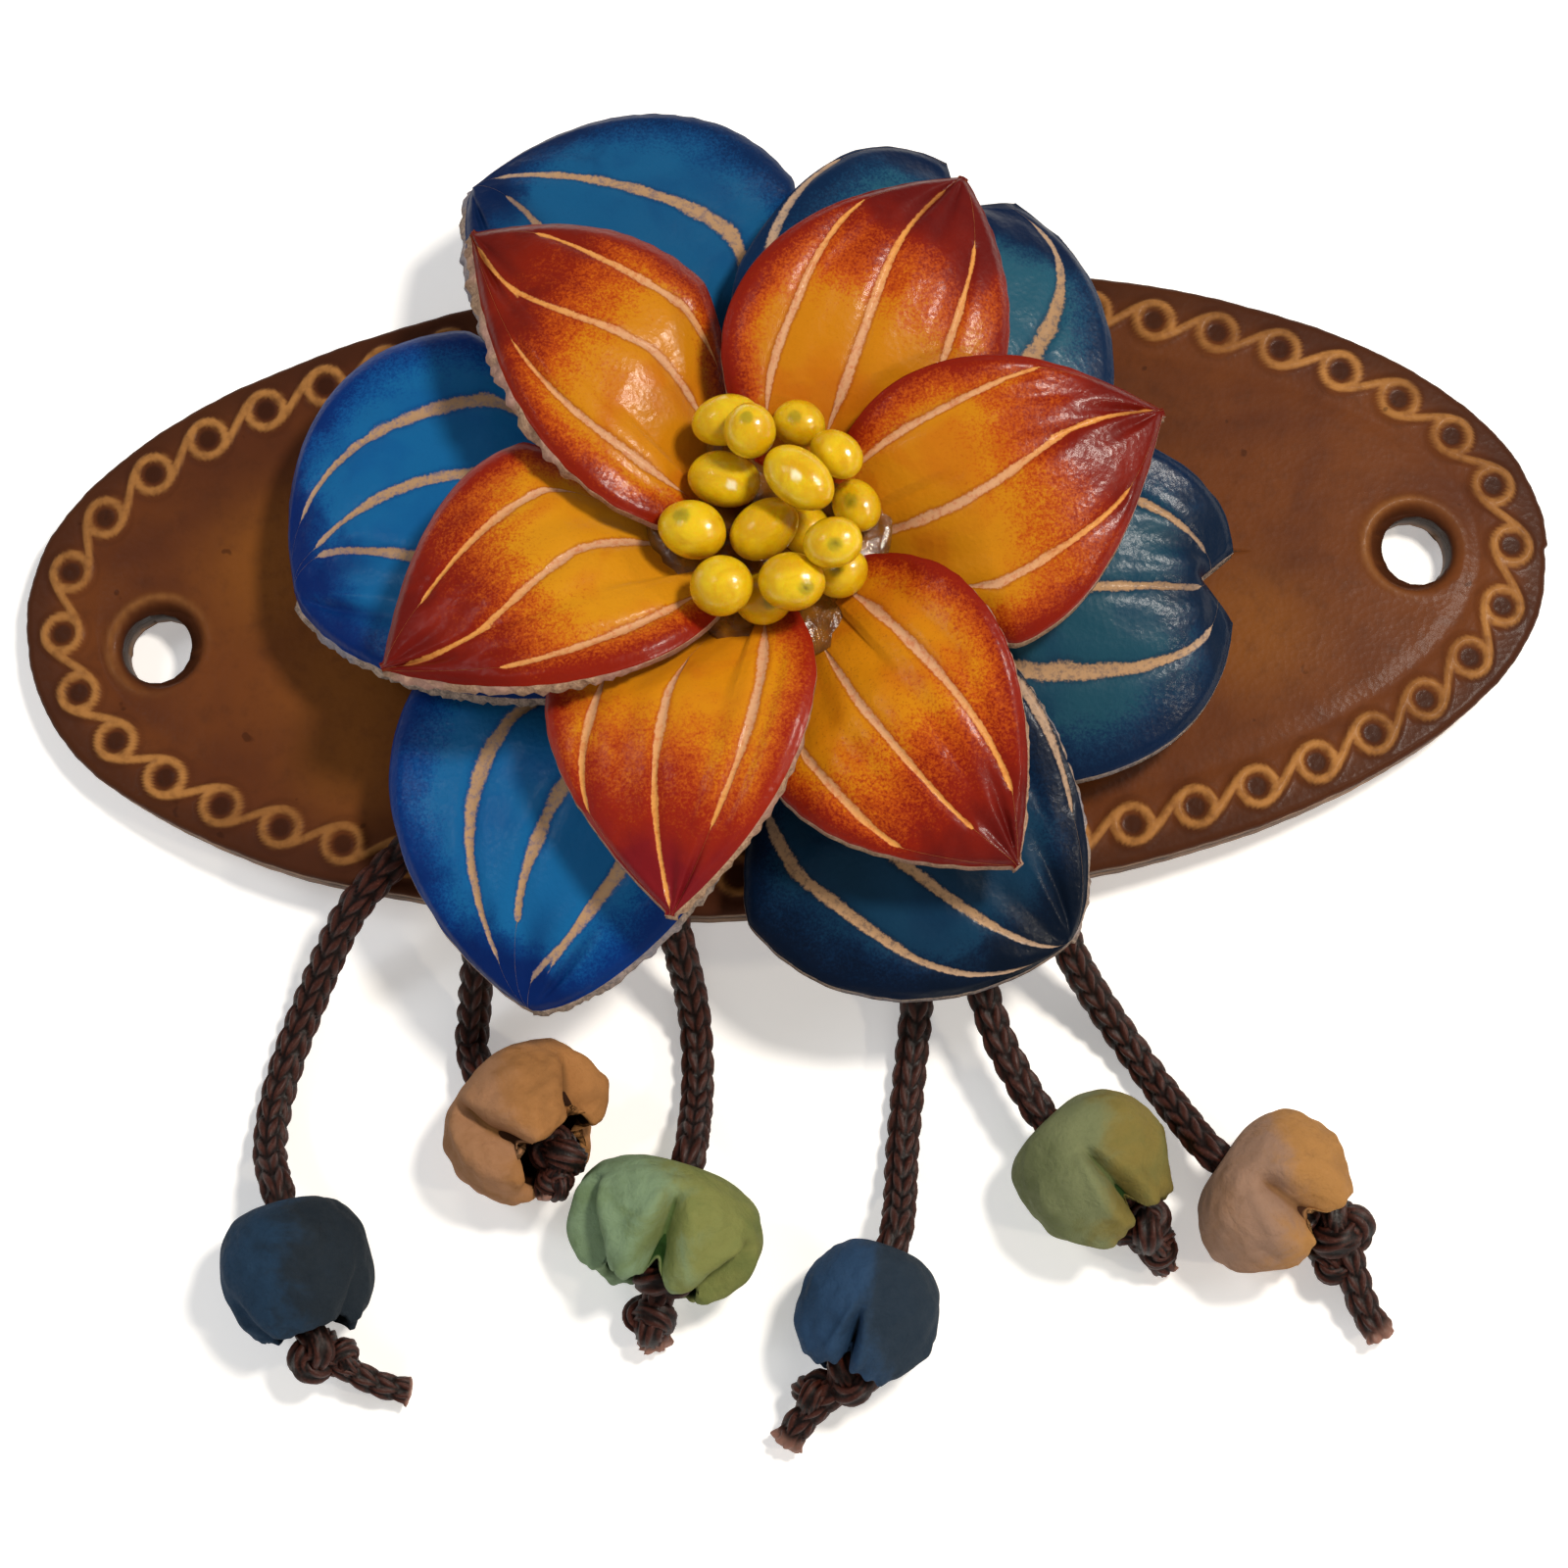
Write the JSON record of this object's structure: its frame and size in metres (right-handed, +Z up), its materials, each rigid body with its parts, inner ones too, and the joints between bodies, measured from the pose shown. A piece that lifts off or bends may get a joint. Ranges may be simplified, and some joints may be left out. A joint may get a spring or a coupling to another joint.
{
  "type": "leather hair barrette slide for a stick",
  "caption": "Arched oval leather hair slide with two stick holes, a scroll border, a layered leather flower with pearl stamens, and braided cords ending in leather bud beads.",
  "frame": {"origin": "centre of the box of the slide and flower, on the surface under the slide's two lowest ends", "axes": "+X along the slide, to the right with the beads towards the viewer; +Y from the beads towards the slide; +Z up, out of the flower"},
  "size_m": [0.1284, 0.1103, 0.0346],
  "materials": {
    "slide_leather": "satin",
    "core_leather": "matte",
    "blue_leather": "satin",
    "orange_leather": "satin",
    "pearl_yellow": "gloss",
    "cord_leather": "satin",
    "bead_blue_leather": "matte",
    "bead_tan_leather": "matte",
    "bead_green_leather": "matte"
  },
  "bodies": {
    "root": {"base_plate": "slide_leather", "flower_core": "core_leather", "outer_petal_1": "blue_leather", "outer_petal_2": "blue_leather", "outer_petal_3": "blue_leather", "outer_petal_4": "blue_leather", "outer_petal_5": "blue_leather", "outer_petal_6": "blue_leather", "inner_petal_1": "orange_leather", "inner_petal_2": "orange_leather", "inner_petal_3": "orange_leather", "inner_petal_4": "orange_leather", "inner_petal_5": "orange_leather", "inner_petal_6": "orange_leather", "stamen_1": "pearl_yellow", "stamen_2": "pearl_yellow", "stamen_3": "pearl_yellow", "stamen_4": "pearl_yellow", "stamen_5": "pearl_yellow", "stamen_6": "pearl_yellow", "stamen_7": "pearl_yellow", "stamen_8": "pearl_yellow", "stamen_9": "pearl_yellow", "stamen_10": "pearl_yellow", "stamen_11": "pearl_yellow", "stamen_12": "pearl_yellow", "stamen_13": "pearl_yellow", "stamen_14": "pearl_yellow", "stamen_15": "pearl_yellow", "cord_1": "cord_leather", "cord_2": "cord_leather", "cord_3": "cord_leather", "cord_4": "cord_leather", "cord_5": "cord_leather", "cord_6": "cord_leather", "bud_bead_1": "bead_blue_leather", "bud_bead_2": "bead_tan_leather", "bud_bead_3": "bead_green_leather", "bud_bead_4": "bead_blue_leather", "bud_bead_5": "bead_green_leather", "bud_bead_6": "bead_tan_leather", "knot_1": "cord_leather", "knot_2": "cord_leather", "knot_3": "cord_leather", "knot_4": "cord_leather", "knot_5": "cord_leather", "knot_6": "cord_leather"}
  },
  "joints": []
}
